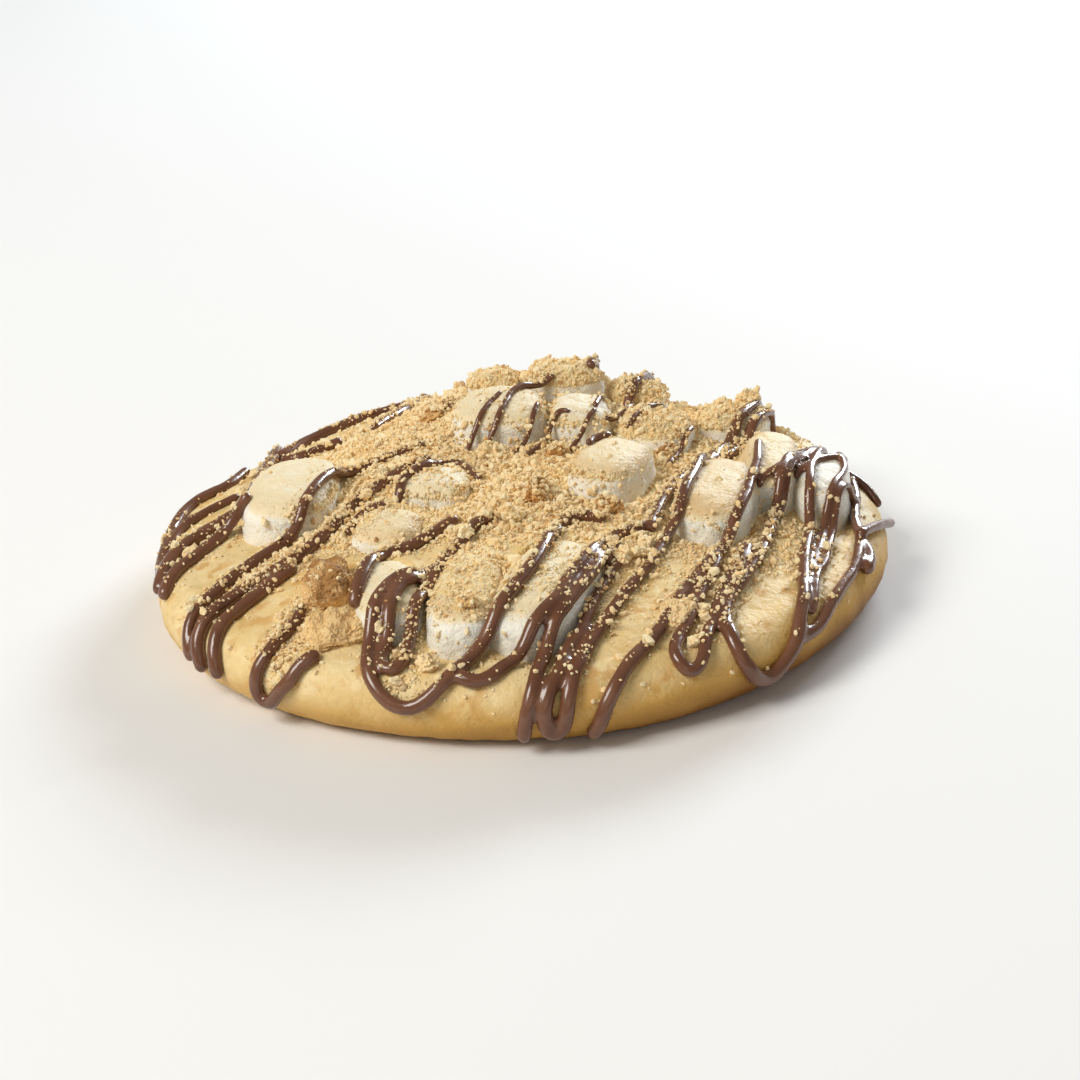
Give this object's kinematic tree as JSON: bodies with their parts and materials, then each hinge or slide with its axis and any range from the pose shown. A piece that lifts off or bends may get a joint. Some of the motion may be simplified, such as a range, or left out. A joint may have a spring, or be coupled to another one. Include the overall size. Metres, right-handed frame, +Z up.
{
  "type": "smores cookie",
  "caption": "Round soft-baked cookie with sunk toasted marshmallows, a zigzag drizzle of milk chocolate and cracker crumbs.",
  "frame": {"origin": "middle of the cookie's bounding box, on the plane it rests on", "axes": "+Z up through the domed top, -Y towards the side that faces the viewer in the picture, +X to that viewer's right"},
  "size_m": [0.1011, 0.1033, 0.0239],
  "materials": {
    "dough": "soft-baked pale gold crust, a little oily, with fine pores and small toasted spots",
    "marshmallow": "dull puffed skin, cream white at the sides and lightly toasted on top",
    "cracker": "dry baked cracker, browned outside and pale where it broke",
    "chocolate": "set milk chocolate with a soft shine"
  },
  "bodies": {
    "root": {"cookie": "dough", "marshmallow_1": "marshmallow", "marshmallow_2": "marshmallow", "marshmallow_3": "marshmallow", "marshmallow_4": "marshmallow", "marshmallow_5": "marshmallow", "marshmallow_6": "marshmallow", "marshmallow_7": "marshmallow", "marshmallow_8": "marshmallow", "marshmallow_9": "marshmallow", "marshmallow_10": "marshmallow", "marshmallow_11": "marshmallow", "marshmallow_12": "marshmallow", "marshmallow_13": "marshmallow", "marshmallow_14": "marshmallow", "marshmallow_15": "marshmallow", "marshmallow_16": "marshmallow", "marshmallow_17": "marshmallow", "cracker_chunk_1": "cracker", "cracker_chunk_2": "cracker", "cracker_chunk_3": "cracker"}
  },
  "joints": []
}
